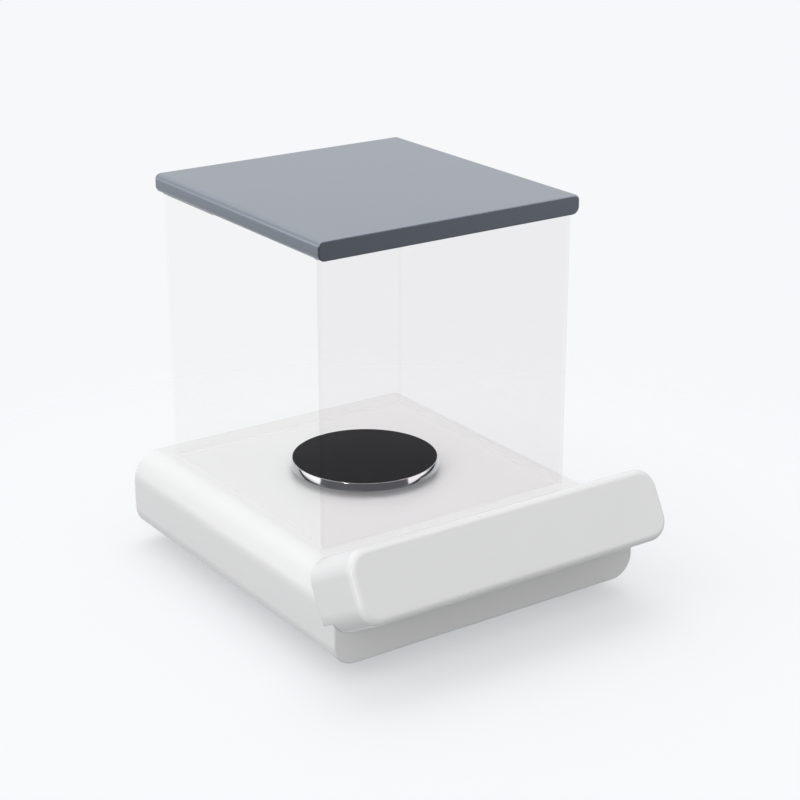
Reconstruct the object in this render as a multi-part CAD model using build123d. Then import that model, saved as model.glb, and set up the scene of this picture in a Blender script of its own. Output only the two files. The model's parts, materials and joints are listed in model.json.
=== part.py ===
from build123d import *
from math import cos, pi, radians, sin
import os

# A laboratory balance with a glass weighing chamber. Millimetres, +X right, +Y to the back, +Z up
# from the bench. Every piece is drawn about the middle of the base, and moved along Y at the end so
# that the balance is centred.

# Base moulding
base_width = 214.0
base_depth = 234.0
base_height = 50.0
base_top_corner = 18.0
base_lower_corner = 14.0
base_edge_round = 1.4
base_wall = 3.0

# Bottom plate, set flush into the underside of the base
plate_side_margin = 17.0
plate_end_margin = 8.0
plate_thickness = 3.0
plate_gap = 0.3
plate_rib_height = 4.0
plate_rib_width = 2.0
board_post_height = 5.0
cell_pad_height = 3.0
plate_blind_wall = 1.0
plate_corner = 3.0
board_post_radius = 3.0
cell_pad_radius = 5.0
boss_radius = 4.5
boss_side_inset = 10.0
boss_front_inset = 25.0
boss_middle_y = 10.0
boss_back_inset = 15.0

# Feet
foot_height = 10.0
front_foot_side_inset = 18.0
front_foot_front_inset = 37.0
front_foot_radius = 10.0
front_foot_taper = 1.2
front_foot_stem = 3.0
front_foot_barb = 0.8
front_foot_barb_length = 3.0
front_foot_edge = 1.0
stem_clearance = 3.0
rear_foot_side_inset = 16.0
rear_foot_back_inset = 33.0
rear_foot_travel = 4.0
wheel_radius = 13.0
wheel_thickness = 4.0
wheel_flutes = 18
wheel_flute_radius = 1.3
spindle_radius = 4.0
pad_radius = 9.0
pad_height = 4.0
pad_edge = 0.8
pad_socket_depth = 2.5
wheel_edge = 0.6
wheel_rise = 0.3
spindle_edge = 0.8
spindle_spare = 1.0
tip_radius = 2.5
tip_gap = 0.3
bush_radius = 6.5
bush_height = 7.5
bush_boss_wall = 2.0

# Glass weighing chamber, standing in a groove in the top of the base
chamber_side_inset = 21.0
chamber_front_inset = 42.3
chamber_back_inset = 16.7
chamber_height = 169.5
glass_thickness = 3.0
glass_bond = 0.1
groove_depth = 4.0
gasket_wall = 0.9
gasket_floor = 0.8
gasket_squeeze = 0.05
groove_rib = 2.5

# Sliding lid
lid_clearance = 0.3
lid_side_overhang = 3.15
lid_end_overhang = 4.15
lid_thickness = 11.8
lid_top_corner = 3.6
lid_lower_corner = 4.6
lid_edge_round = 1.0
lid_wall = 2.5
lid_plate_thickness = 2.0
lid_plate_end_margin = 5.0
lid_slot_margin = 8.8
lid_boss_radius = 3.0
lid_boss_side_inset = 29.0
lid_boss_end_inset = 21.5
guide_length = 55.0
guide_end_setback = 2.0
guide_head_width = 7.0
guide_head_thickness = 2.0
guide_bond = 0.1
guide_pane_gap = 0.2
lid_opening_gap = 0.4
lid_fit = 0.1
lid_notch_gap = 0.8
lid_rib_inset = 1.5
lid_rib_width = 4.0
lid_screw_end_gap = 1.5
lid_head_gap = 0.2

# Weighing pan and what carries it
pan_radius = 45.0
pan_thickness = 4.9
pan_hover = 4.2
pan_skin = 1.4
pan_rim = 1.6
inlay_thickness = 0.8
inlay_rim = 0.9
spider_thickness = 2.0
spider_arm_width = 9.0
spider_arms = 3
spider_plate_margin = 4.0
spider_rim_gap = 1.5
spider_rim_width = 4.0
spider_pan_gap = 0.1
hub_rise = 4.0
hub_end_gap = 0.3
pan_edge_round = 0.5
collar_fit = 0.1
hub_radius = 7.0
collar_bore = 11.0
collar_wall = 2.0
collar_flange = 17.0
collar_rise = 1.4
spigot_radius = 4.0
spigot_height = 9.0
spigot_gap = 1.0

# Control panel, a slab that leans back against the front of the base
panel_overhang = 1.1
panel_height = 43.1
panel_depth = 45.3
panel_corner = 13.0
panel_front_round = 4.3
panel_back_round = 1.2
panel_wall = 2.5
panel_tilt = 28.7
panel_face_reach = 23.2
panel_face_rise = 57.4
seat_gap = 0.3
panel_screw_boss_gap = 14.0
touch_board_margin = 8.0
panel_screw_heights = (-13.0, 4.0)
panel_boss_radius = 3.6
touch_board_height = 34.0
display_side_margin = 8.0
display_height = 28.0
display_thickness = 5.0
cable_width = 20.0
cable_thickness = 0.4
cable_slot_height = 5.0
cable_slot_margin = 1.0
cable_height = -4.0
cable_bend = 4.0
touch_post_radius = 2.5
touch_post_gap = 0.7
display_gap = 0.2
display_glass_thickness = 1.5
display_frame_margin = 2.0
display_frame_inset = 1.0
touch_board_gap = 0.4
panel_fit = 0.1

# Weigh cell: two flexure-necked guides and a lever that turns on a fulcrum
cell_half_width = 32.0
cell_tail_half_width = 20.0
cell_front_reach = 14.8
cell_end_gap = 7.0
cell_screw_inset = 5.0
cell_floor = 4.0
tower_depth = 12.0
hanger_depth = 12.0
hanger_half_width = 16.0
guide_plate_thickness = 2.5
neck_thickness = 0.8
neck_inset = 4.5
guide_window_half_width = 15.0
guide_window_margin = 5.0
lower_guide_rise = 1.5
cell_headroom = 3.75
pivot_gap = 0.25
tower_thread = 5.0
hanger_thread = 3.5
hanger_screw_inset = 4.0
hanger_web = 5.0
hanger_flange = 4.0
tower_screw_inset = 8.0
tower_lip = 3.0
guide_side_margin = 2.0
guide_shoulder = 2.0
lever_slot_front_gap = 8.0
lever_slot_back_gap = 3.0
lever_rail = 2.5
lever_nose_step = 1.0
lever_shoulder = 3.0
core_edge = 0.5
fulcrum_setback = 13.2
fulcrum_post_half_depth = 2.0
fulcrum_post_x = 10.0
fulcrum_post_width = 4.0
lever_nose_gap = 1.7
yoke_overlap = 2.5
yoke_cheek = 2.0
yoke_root = 1.0
lever_height = 4.0
lever_half_width = 5.0
lever_drop = 10.5
lever_window_gap = 2.5
magnet_back_inset = 24.0
pot_tower_gap = 2.0
pot_radius = 16.0
pot_lever_gap = 3.0
pot_wall = 3.5
pot_floor = 3.0
core_radius = 8.0
coil_inner_radius = 9.2
coil_outer_radius = 11.2
coil_height = 8.0
flag_width = 4.0
flag_thickness = 2.0
flag_end_gap = 2.0
sensor_width = 12.0
sensor_depth = 7.0
sensor_arm = 2.0
sensor_overlap = 6.0

# Circuit boards and sockets
board_thickness = 1.6
board_screw_inset = 4.0
main_board_side_gap = 14.0
main_board_front_inset = 23.0
main_board_depth = 58.0
processor_width = 18.0
processor_height = 1.8
converter_width = 12.0
converter_depth = 9.0
converter_height = 1.5
capacitor_radius = 3.5
capacitor_height = 10.0
capacitor_pitch = 9.0
capacitor_count = 3
relay_width = 13.0
relay_height = 7.5
part_margin = 14.0
plug_height = 4.0
plug_depth = 5.0
plug_margin = 2.0
io_board_gap = 4.0
io_board_foot_gap = 8.0
io_board_front_inset = 31.0
io_connector_depth = 5.5
io_connector_height = 5.0
io_connector_inset = 6.0
io_connector_setback = 1.5
socket_gap = 0.3
dc_inlet_inset = 8.0
dc_inlet_width = 9.0
dc_inlet_height = 11.0
dc_inlet_depth = 14.0
dc_bore_radius = 3.2
dc_pin_radius = 1.0
dc_bore_depth = 10.0
dc_pin_setback = 1.0
socket_pitch = 13.0
data_socket_width = 12.0
data_socket_height = 11.0
data_socket_depth = 16.0
data_socket_wall = 1.5
data_mouth_depth = 10.0
data_tongue_half_width = 2.5
data_tongue_setback = 1.5
data_tongue_margin = 4.0

# Screws
screw_radius = 1.5
screw_head_radius = 2.8
screw_head_height = 2.0
screw_gap = 0.05
screw_drive_radius = 1.2
screw_engagement = 7.0
pilot_spare = 1.0
short_engagement = 4.5
screw_spare = 0.5
board_screw_end_gap = 1.0

# Levels and edges that follow from the sizes above
rim_z = foot_height
top_z = rim_z + base_height
ceiling_z = top_z - base_wall
plate_top_z = rim_z + plate_thickness
board_z = plate_top_z + board_post_height
cell_z = plate_top_z + cell_pad_height
lid_z = top_z + chamber_height
glass_top_z = lid_z - lid_clearance
back_y = base_depth / 2
plate_width = base_width - 2 * plate_side_margin
plate_depth = base_depth - 2 * plate_end_margin
boss_side_x = plate_width / 2 - boss_side_inset
boss_rows_y = (boss_front_inset - back_y, boss_middle_y, back_y - boss_back_inset)
front_foot_x = plate_width / 2 - front_foot_side_inset
front_foot_y = front_foot_front_inset - back_y
rear_foot_x = plate_width / 2 - rear_foot_side_inset
rear_foot_y = back_y - rear_foot_back_inset
chamber_width = base_width - 2 * chamber_side_inset
chamber_depth = base_depth - chamber_front_inset - chamber_back_inset
chamber_y = (chamber_front_inset - chamber_back_inset) / 2
lid_width = chamber_width + 2 * lid_side_overhang
lid_depth = chamber_depth + 2 * lid_end_overhang
panel_width = base_width + 2 * panel_overhang
panel_face_y = -back_y - panel_face_reach
panel_screw_x = boss_side_x - panel_screw_boss_gap
touch_board_width = 2 * (panel_screw_x - touch_board_margin)
display_width = touch_board_width - 2 * display_side_margin
hanger_back = chamber_y + hanger_depth / 2
lower_guide_z = cell_z + cell_floor + lower_guide_rise
upper_guide_z = ceiling_z - cell_headroom - screw_head_height - pivot_gap - guide_plate_thickness
hanger_top_z = upper_guide_z + guide_plate_thickness + pivot_gap
lever_z = upper_guide_z - lever_drop
pot_height = lever_z - pot_lever_gap - cell_z - cell_floor
cell_front = chamber_y - cell_front_reach
cell_back = back_y - cell_end_gap
magnet_y = cell_back - magnet_back_inset
tower_back = magnet_y - pot_radius - pot_tower_gap
tower_front = tower_back - tower_depth
cell_step_y = tower_back + 2 * cell_screw_inset + pot_tower_gap
fulcrum_y = hanger_back + fulcrum_setback
lever_nose_y = hanger_back + lever_nose_gap
front_neck_y = hanger_back + neck_inset
back_neck_y = tower_front - neck_inset
flag_end_y = cell_back - flag_end_gap
main_board_half_width = boss_side_x - main_board_side_gap
main_board_front = main_board_front_inset - back_y
main_board_back = main_board_front + main_board_depth
io_board_left = cell_tail_half_width + io_board_gap
io_board_right = rear_foot_x - spindle_radius - io_board_foot_gap
io_board_front = back_y - io_board_front_inset
dc_inlet_x = io_board_left + dc_inlet_inset
data_socket_x = dc_inlet_x + socket_pitch
pan_z = top_z + pan_hover
pan_top_z = pan_z + pan_thickness
tilt = radians(panel_tilt)
panel_face = Plane(
    origin=(0, panel_face_y, rim_z + panel_face_rise),
    x_dir=(1, 0, 0),
    z_dir=(0, -cos(tilt), sin(tilt)),
)


def block(x0, x1, y0, y1, z0, z1):
    """A box between two opposite corners."""
    return Pos((x0 + x1) / 2, (y0 + y1) / 2, (z0 + z1) / 2) * Box(x1 - x0, y1 - y0, z1 - z0)


def column(x, y, z0, z1, radius):
    """An upright cylinder."""
    return Pos(x, y, (z0 + z1) / 2) * Cylinder(radius, z1 - z0)


def cross_bar(y, z, half_length, radius):
    """A cylinder that lies along X."""
    return Pos(0, y, z) * Rot(0, 90, 0) * Cylinder(radius, 2 * half_length)


def corners(x, rows):
    """Pairs of places to the left and right of the middle, one pair for each row."""
    return [(side * x, y) for y in rows for side in (-1, 1)]


def moulded_bar(width, height, low_z, length, y, top_corner, lower_corner, edge_round=0.0):
    """A rounded section that runs from front to back, with softened ends."""
    section = Plane.XZ * Pos(0, low_z + height / 2) * Rectangle(width, height)
    section = fillet(section.vertices().group_by(Axis.Z)[-1], top_corner)
    section = fillet(section.vertices().group_by(Axis.Z)[0], lower_corner)
    bar = extrude(section, amount=length / 2, both=True)
    if edge_round > 0:
        ends = bar.faces().sort_by(Axis.Y)
        bar = fillet(ends[0].edges() + ends[-1].edges(), edge_round)
    return Pos(0, y, 0) * bar


def screw(length):
    """A screw that points down, with the underside of its head at the origin."""
    head = column(0, 0, 0, screw_head_height, screw_head_radius)
    shank = column(0, 0, -length, 0, screw_radius)
    drive = extrude(RegularPolygon(screw_drive_radius, 6), amount=screw_head_height)
    return head + shank - Pos(0, 0, screw_head_height / 2) * drive


def screws_at(places, z, length, points_up=False):
    """Identical screws with the undersides of their heads at one level."""
    turn = Rot(180, 0, 0) if points_up else Rot(0, 0, 0)
    return Compound([Pos(x, y, z) * turn * screw(length) for x, y in places])


# Base


def base_form(inset, edge_round=0.0):
    """The outer form of the base, drawn in by the same amount all round."""
    return moulded_bar(
        base_width - 2 * inset,
        base_height - 2 * inset,
        rim_z + inset,
        base_depth - 2 * inset,
        0,
        base_top_corner - inset,
        base_lower_corner - inset,
        edge_round,
    )


def panel_slab(inset, front, back):
    """The panel's rounded outline between two distances behind its face, drawn in by the inset."""
    outline = RectangleRounded(panel_width - 2 * inset, panel_height - 2 * inset, panel_corner - inset)
    return Pos(0, 0, -back) * extrude(outline, amount=back - front)


def panel_seat(gap):
    """The space that the panel takes out of the base, larger than the panel by the gap."""
    return panel_face * panel_slab(-gap, -panel_depth, panel_depth + gap)


def chamber_ring(outset, wall, z0, z1):
    """A rectangular ring round the chamber whose outer face lies outside the glass by the outset."""
    width = chamber_width + 2 * outset
    depth = chamber_depth + 2 * outset
    outer = Box(width, depth, z1 - z0)
    inner = Box(width - 2 * wall, depth - 2 * wall, z1 - z0)
    return Pos(0, chamber_y, (z0 + z1) / 2) * (outer - inner)


def panel_screw_places():
    return [(side * panel_screw_x, h) for h in panel_screw_heights for side in (-1, 1)]


def make_base_cover():
    """Moulded shell, open below, with a leaning seat for the panel and a groove for the glass."""
    groove_z = top_z - groove_depth
    hollow = base_form(base_wall) - panel_seat(seat_gap + base_wall)
    rib_outset = gasket_wall + groove_rib
    rib_width = glass_thickness + 2 * rib_outset
    hollow -= chamber_ring(rib_outset, rib_width, groove_z - groove_rib, top_z)
    for x, y in corners(boss_side_x, boss_rows_y):
        hollow -= column(x, y, rim_z, top_z, boss_radius)
    cover = base_form(0, base_edge_round) - hollow
    opening_x = plate_width / 2 + plate_gap
    opening_y = plate_depth / 2 + plate_gap
    cover -= block(-opening_x, opening_x, -opening_y, opening_y, rim_z, plate_top_z)
    cover -= panel_seat(seat_gap)
    cover -= chamber_ring(gasket_wall, glass_thickness + 2 * gasket_wall, groove_z, top_z)
    cover -= column(0, chamber_y, ceiling_z, top_z, collar_bore + collar_wall)
    pilot = screw_radius + screw_gap
    for x, y in corners(boss_side_x, boss_rows_y):
        cover -= column(x, y, plate_top_z, plate_top_z + screw_engagement + pilot_spare, pilot)
    for x, h in panel_screw_places():
        hole = column(x, h, -panel_depth - seat_gap - base_wall - pilot_spare, -panel_depth, pilot)
        cover -= panel_face * hole
    cover -= panel_face * cable_slot(panel_depth - panel_wall, panel_depth + 2 * base_wall)
    for x, width, height in rear_sockets():
        cover -= block(
            x - width / 2 - socket_gap,
            x + width / 2 + socket_gap,
            back_y - base_wall,
            back_y,
            board_z + board_thickness - socket_gap,
            board_z + board_thickness + height + socket_gap,
        )
    return cover


def cable_slot(front, back):
    """The slot for the display cable, between two distances behind the face of the panel."""
    slot = Box(cable_width + 2 * cable_slot_margin, cable_slot_height, back - front)
    return Pos(0, cable_height, -(front + back) / 2) * slot


def rear_sockets():
    return (
        (dc_inlet_x, dc_inlet_width, dc_inlet_height),
        (data_socket_x, data_socket_width, data_socket_height),
    )


def cell_screw_places():
    rows = (cell_front + cell_screw_inset, cell_step_y - cell_screw_inset)
    return corners(cell_half_width - cell_screw_inset, rows)


def main_board_places():
    rows = (main_board_front + board_screw_inset, main_board_back - board_screw_inset)
    return corners(main_board_half_width - board_screw_inset, rows)


def io_board_places():
    y = io_board_front + board_screw_inset
    return [(io_board_left + board_screw_inset, y), (io_board_right - board_screw_inset, y)]


def make_bottom_plate():
    """Cast plate with a stiffening rib, posts for the boards and pads for the weigh cell."""
    plate = block(-plate_width / 2, plate_width / 2, -plate_depth / 2, plate_depth / 2, rim_z, plate_top_z)
    plate = fillet(plate.edges().filter_by(Axis.Z), plate_corner)
    rib_x = boss_side_x - boss_radius - 2 * plate_rib_width
    rib_y = plate_depth / 2 - 2 * plate_rib_width
    rib_z = plate_top_z + plate_rib_height
    ring = block(-rib_x, rib_x, -rib_y, rib_y, plate_top_z, rib_z)
    inner_x = rib_x - plate_rib_width
    inner_y = rib_y - plate_rib_width
    ring -= block(-inner_x, inner_x, -inner_y, inner_y, plate_top_z, rib_z)
    plate += ring - rib_clearings()
    for x, y in main_board_places() + io_board_places():
        plate += column(x, y, plate_top_z, board_z, board_post_radius)
        plate -= column(x, y, plate_top_z, board_z, screw_radius + screw_gap)
    for x, y in cell_screw_places():
        plate += column(x, y, plate_top_z, cell_z, cell_pad_radius)
        plate -= column(x, y, rim_z + plate_blind_wall, cell_z, screw_radius + screw_gap)
    for x, y in corners(boss_side_x, boss_rows_y):
        plate -= column(x, y, rim_z, plate_top_z, screw_radius + 2 * screw_gap)
        plate -= column(x, y, rim_z, rim_z + screw_head_height, screw_head_radius + plate_gap)
    for x, y in corners(front_foot_x, (front_foot_y,)):
        plate -= column(x, y, rim_z, plate_top_z, front_foot_stem + screw_gap)
    for x, y in corners(rear_foot_x, (rear_foot_y,)):
        plate += column(x, y, plate_top_z, rim_z + bush_height, bush_radius + bush_boss_wall)
        plate -= column(x, y, rim_z, rim_z + bush_height, bush_radius)
    return plate


def rib_clearings():
    """Gaps in the stiffening rib for the front feet's stems and for the weigh cell."""
    top = plate_top_z + plate_rib_height
    clear = front_foot_stem + stem_clearance
    stems = [column(x, y, plate_top_z, top, clear) for x, y in corners(front_foot_x, (front_foot_y,))]
    half = cell_tail_half_width + plate_gap
    return Part() + stems + block(-half, half, cell_step_y, plate_depth / 2, plate_top_z, top)


def make_front_foot(side):
    """Rubber foot with a barbed stem that pushes through the bottom plate."""
    r = front_foot_radius
    s = front_foot_stem
    barb = s + front_foot_barb
    barb_z = plate_top_z + screw_gap
    tip_z = barb_z + front_foot_barb_length
    profile = Polyline(
        (0, 0), (r - front_foot_taper, 0), (r, front_foot_edge), (r - front_foot_taper, rim_z), (s, rim_z),
        (s, barb_z), (barb, barb_z), (s - front_foot_barb, tip_z), (0, tip_z), close=True,
    )
    foot = revolve(Plane.XZ * make_face(profile), Axis.Z)
    return Pos(side * front_foot_x, front_foot_y, 0) * foot


def make_foot_pad(side):
    """Pad of a levelling foot, with a socket for the end of its spindle."""
    pad = chamfer(Cylinder(pad_radius, pad_height).edges().group_by(Axis.Z)[0], pad_edge)
    pad = Pos(0, 0, pad_height / 2) * pad
    pad -= column(0, 0, pad_height - pad_socket_depth, pad_height, tip_radius + screw_gap)
    return Pos(side * rear_foot_x, rear_foot_y, 0) * pad


def make_foot_spindle(side):
    """Threaded spindle with a fluted hand wheel."""
    wheel_z = pad_height + wheel_rise
    wheel = column(0, 0, wheel_z, wheel_z + wheel_thickness, wheel_radius)
    wheel = chamfer(wheel.edges().filter_by(GeomType.CIRCLE), wheel_edge)
    for i in range(wheel_flutes):
        angle = 2 * pi * i / wheel_flutes
        x = (wheel_radius + wheel_flute_radius / 2) * cos(angle)
        y = (wheel_radius + wheel_flute_radius / 2) * sin(angle)
        wheel -= column(x, y, wheel_z, wheel_z + wheel_thickness, wheel_flute_radius)
    stem = column(0, 0, wheel_z, rim_z + bush_height + rear_foot_travel + spindle_spare, spindle_radius)
    stem = chamfer(stem.edges().group_by(Axis.Z)[-1], spindle_edge)
    tip = column(0, 0, pad_height - pad_socket_depth + tip_gap, wheel_z, tip_radius)
    return Pos(side * rear_foot_x, rear_foot_y, 0) * (wheel + stem + tip)


def make_foot_bush(side):
    """Threaded bush that the spindle runs in."""
    bush = column(0, 0, rim_z, rim_z + bush_height, bush_radius - screw_gap)
    bush -= column(0, 0, rim_z, rim_z + bush_height, spindle_radius + screw_gap)
    return Pos(side * rear_foot_x, rear_foot_y, 0) * bush


# Glass chamber


def make_gasket():
    """Soft channel that lines the groove and carries the glass."""
    groove_z = top_z - groove_depth
    outset = gasket_wall - gasket_squeeze
    channel = chamber_ring(outset, glass_thickness + 2 * outset, groove_z, top_z)
    seat_width = glass_thickness + 2 * gasket_squeeze
    return channel - chamber_ring(gasket_squeeze, seat_width, groove_z + gasket_floor, top_z)


def glass_foot_z():
    return top_z - groove_depth + gasket_floor


def make_cross_pane(side):
    """Front or back pane, across the full width of the chamber."""
    outer = chamber_y + side * chamber_depth / 2
    inner = outer - side * glass_thickness
    half = chamber_width / 2
    return block(-half, half, min(outer, inner), max(outer, inner), glass_foot_z(), glass_top_z)


def make_side_pane(side):
    """Side pane, bonded between the front and back panes."""
    outer = side * chamber_width / 2
    inner = outer - side * glass_thickness
    half = chamber_depth / 2 - glass_thickness - glass_bond
    edges = sorted((outer, inner))
    return block(edges[0], edges[1], chamber_y - half, chamber_y + half, glass_foot_z(), glass_top_z)


# Lid


def guide_back_y():
    return chamber_y + chamber_depth / 2 - glass_thickness - guide_end_setback


def slot_back_y():
    return guide_back_y() + lid_clearance


def slot_front_y():
    return chamber_y - lid_depth / 2 + lid_slot_margin


def guide_head_z():
    return lid_z + lid_plate_thickness + lid_clearance


def make_lid_guide(side):
    """Hooked runner bonded along the top edge of a side pane, that keeps the lid down."""
    outer = chamber_width / 2 - guide_bond
    stem = outer - glass_thickness + guide_pane_gap
    head_z = guide_head_z()
    head_top = head_z + guide_head_thickness
    profile = Polyline(
        (stem, glass_top_z), (outer, glass_top_z), (outer, head_top), (outer - guide_head_width, head_top),
        (outer - guide_head_width, head_z), (stem, head_z), close=True,
    )
    runner = extrude(Plane.XZ * make_face(profile), amount=-guide_length)
    runner = Pos(0, guide_back_y() - guide_length, 0) * runner
    return runner if side > 0 else mirror(runner, Plane.YZ)


def lid_opening_half_width():
    return chamber_width / 2 + lid_opening_gap


def lid_plate_half_depth():
    return lid_depth / 2 - lid_plate_end_margin


def lid_boss_places():
    spread = lid_depth / 2 - lid_boss_end_inset
    rows = (chamber_y - spread, chamber_y, chamber_y + spread)
    return corners(lid_width / 2 - lid_boss_side_inset, rows)


def make_lid_cover():
    """Shallow shell with ribs that ride on the runners."""
    cover = moulded_bar(
        lid_width,
        lid_thickness,
        lid_z,
        lid_depth,
        chamber_y,
        lid_top_corner,
        lid_lower_corner,
        lid_edge_round,
    )
    inner_top = lid_z + lid_thickness - lid_wall
    half_x = lid_opening_half_width()
    half_y = lid_plate_half_depth()
    hollow = block(-half_x, half_x, chamber_y - half_y, chamber_y + half_y, lid_z, inner_top)
    rib_z = guide_head_z() + guide_head_thickness + lid_clearance
    rib_outer = chamber_width / 2 - lid_rib_inset
    for side in (-1, 1):
        edges = sorted((side * rib_outer, side * (rib_outer - lid_rib_width)))
        hollow -= block(edges[0], edges[1], slot_front_y(), slot_back_y(), rib_z, inner_top)
    plate_z = lid_z + lid_plate_thickness
    for x, y in lid_boss_places():
        hollow -= column(x, y, plate_z, inner_top, lid_boss_radius)
    cover -= hollow
    for x, y in lid_boss_places():
        cover -= column(x, y, plate_z, inner_top - screw_spare, screw_radius + screw_gap)
    return cover


def make_lid_plate():
    """Closing plate under the lid, notched along both sides for the runners."""
    half_x = lid_opening_half_width() - lid_fit
    half_y = lid_plate_half_depth() - lid_fit
    top = lid_z + lid_plate_thickness
    plate = block(-half_x, half_x, chamber_y - half_y, chamber_y + half_y, lid_z, top)
    notch = glass_thickness + lid_notch_gap
    for side in (-1, 1):
        edges = sorted((side * (half_x - notch), side * (half_x + lid_fit)))
        plate -= block(edges[0], edges[1], slot_front_y(), chamber_y + half_y, lid_z, top)
    for x, y in lid_boss_places():
        plate -= column(x, y, lid_z, top, screw_radius + screw_gap)
        plate -= column(x, y, lid_z, lid_z + lid_plate_thickness / 2, screw_head_radius + lid_head_gap)
    return plate


def make_lid_screws():
    """Thin-headed screws that hold the closing plate."""
    screws = []
    for x, y in lid_boss_places():
        head = column(x, y, lid_z, lid_z + lid_plate_thickness / 2, screw_head_radius)
        shank = column(x, y, lid_z, lid_z + lid_thickness - lid_wall - lid_screw_end_gap, screw_radius)
        screws.append(head + shank)
    return Compound(screws)


def make_lid_stops():
    """Plugs behind the runners that fill the notches and stop the lid at its closed place."""
    outer = lid_opening_half_width() - lid_fit
    inner = outer - glass_thickness - lid_notch_gap + 2 * lid_fit
    back = chamber_y + lid_plate_half_depth() - lid_fit
    front = slot_back_y()
    top = guide_head_z() + guide_head_thickness
    stops = []
    for side in (-1, 1):
        edges = sorted((side * outer, side * inner))
        stops.append(block(edges[0], edges[1], front, back, lid_z, top))
    return Compound(stops)


# Weighing pan


def make_pan():
    """Shallow pan with a turned-down rim and a recess for the inlay."""
    inner = pan_radius - pan_rim
    pan = column(0, chamber_y, pan_z, pan_top_z, pan_radius)
    pan = fillet(pan.edges().filter_by(GeomType.CIRCLE), pan_edge_round)
    pan -= column(0, chamber_y, pan_z, pan_top_z - inlay_thickness - pan_skin, inner)
    pan -= column(0, chamber_y, pan_top_z - inlay_thickness, pan_top_z, pan_radius - inlay_rim)
    return pan


def make_pan_inlay():
    radius = pan_radius - inlay_rim - screw_gap
    return column(0, chamber_y, pan_top_z - inlay_thickness, pan_top_z, radius)


def spider_top_z():
    return pan_top_z - inlay_thickness - pan_skin - spider_pan_gap


def make_pan_support():
    """Spider that carries the pan, with a hub that drops over the hanger's spigot."""
    top = spider_top_z()
    low = top - spider_thickness
    reach = pan_radius - pan_rim - spider_rim_gap
    spider = column(0, 0, low, top, hub_radius + spider_plate_margin)
    for i in range(spider_arms):
        arm = Pos(0, reach / 2, (low + top) / 2) * Box(spider_arm_width, reach, spider_thickness)
        spider += Rot(0, 0, 360 * i / spider_arms) * arm
    rim = column(0, 0, low, top, reach) - column(0, 0, low, top, reach - spider_rim_width)
    hub_low = hanger_top_z + hub_rise
    hub = column(0, 0, hub_low, top, hub_radius)
    bore = column(0, 0, hub_low, hanger_top_z + spigot_height + hub_end_gap, spigot_radius + screw_gap)
    return Pos(0, chamber_y, 0) * (spider + rim + hub - bore)


def make_collar():
    """Draught collar that lines the opening in the top of the base, under the pan."""
    ring = column(0, chamber_y, ceiling_z, top_z + collar_rise, collar_bore + collar_wall - collar_fit)
    ring += column(0, chamber_y, top_z, top_z + collar_rise / 2, collar_flange)
    return ring - column(0, chamber_y, ceiling_z, top_z + collar_rise, collar_bore)


# Weigh cell


def make_cell_frame():
    """Fixed frame of the weigh cell: floor, tower for the guides and posts for the fulcrum."""
    floor_top = cell_z + cell_floor
    half = cell_half_width
    tail = cell_tail_half_width
    frame = block(-half, half, cell_front, cell_step_y, cell_z, floor_top)
    frame += block(-tail, tail, cell_step_y, cell_back, cell_z, floor_top)
    tower_top = upper_guide_z - pivot_gap
    frame += block(-half, half, tower_front, tower_back, floor_top, tower_top)
    slot_low = lower_guide_z - pivot_gap
    slot_high = lower_guide_z + guide_plate_thickness + pivot_gap
    frame -= block(-half, half, tower_front, tower_back - tower_lip, slot_low, slot_high)
    window = lever_window_gap
    frame -= block(
        -lever_half_width - window,
        lever_half_width + window,
        tower_front,
        tower_back,
        lever_z - window,
        lever_z + lever_height + window,
    )
    depth = fulcrum_post_half_depth
    for side in (-1, 1):
        edges = sorted((side * fulcrum_post_x, side * (fulcrum_post_x + fulcrum_post_width)))
        post_top = lever_z - pivot_gap
        frame += block(edges[0], edges[1], fulcrum_y - depth, fulcrum_y + depth, floor_top, post_top)
    for x, y in cell_screw_places():
        frame -= column(x, y, cell_z, floor_top, screw_radius + screw_gap)
    for x, y in tower_screw_places():
        frame -= column(x, y, tower_top - tower_thread - pilot_spare, tower_top, screw_radius + screw_gap)
    return frame


def tower_screw_places():
    return corners(cell_half_width - tower_screw_inset, (tower_front + tower_depth / 2,))


def hanger_screw_places():
    return corners(hanger_half_width - hanger_screw_inset, (chamber_y,))


def make_guide(z):
    """Guide plate that tapers from the tower to the hanger, thinned to a neck near each end."""
    front = chamber_y - hanger_depth / 2
    back = tower_back - tower_lip - pivot_gap
    wide = cell_half_width - guide_side_margin
    narrow = hanger_half_width
    front_step = front_neck_y + guide_shoulder
    back_step = back_neck_y - guide_shoulder
    outline = Polyline(
        (-narrow, front), (narrow, front), (narrow, front_step), (wide, back_step),
        (wide, back), (-wide, back), (-wide, back_step), (-narrow, front_step), close=True,
    )
    guide = Pos(0, 0, z) * extrude(make_face(outline), amount=guide_plate_thickness)
    window = guide_window_half_width
    guide -= block(
        -window, window, front_neck_y + guide_window_margin, back_neck_y - guide_window_margin,
        z, z + guide_plate_thickness,
    )
    groove = (guide_plate_thickness - neck_thickness) / 2
    for y in (front_neck_y, back_neck_y):
        guide -= cross_bar(y, z, cell_half_width, groove)
        guide -= cross_bar(y, z + guide_plate_thickness, cell_half_width, groove)
    return guide


def make_upper_guide():
    guide = make_guide(upper_guide_z)
    hole = screw_radius + 2 * pivot_gap
    for x, y in tower_screw_places() + hanger_screw_places():
        guide -= column(x, y, upper_guide_z, upper_guide_z + guide_plate_thickness, hole)
    clear = spigot_radius + spigot_gap
    guide -= column(0, chamber_y, upper_guide_z, upper_guide_z + guide_plate_thickness, clear)
    return guide


def make_guide_screws():
    """Screws that hold the upper guide to the tower."""
    z = upper_guide_z + guide_plate_thickness + pivot_gap
    return screws_at(tower_screw_places(), z, guide_plate_thickness + tower_thread)


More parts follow.
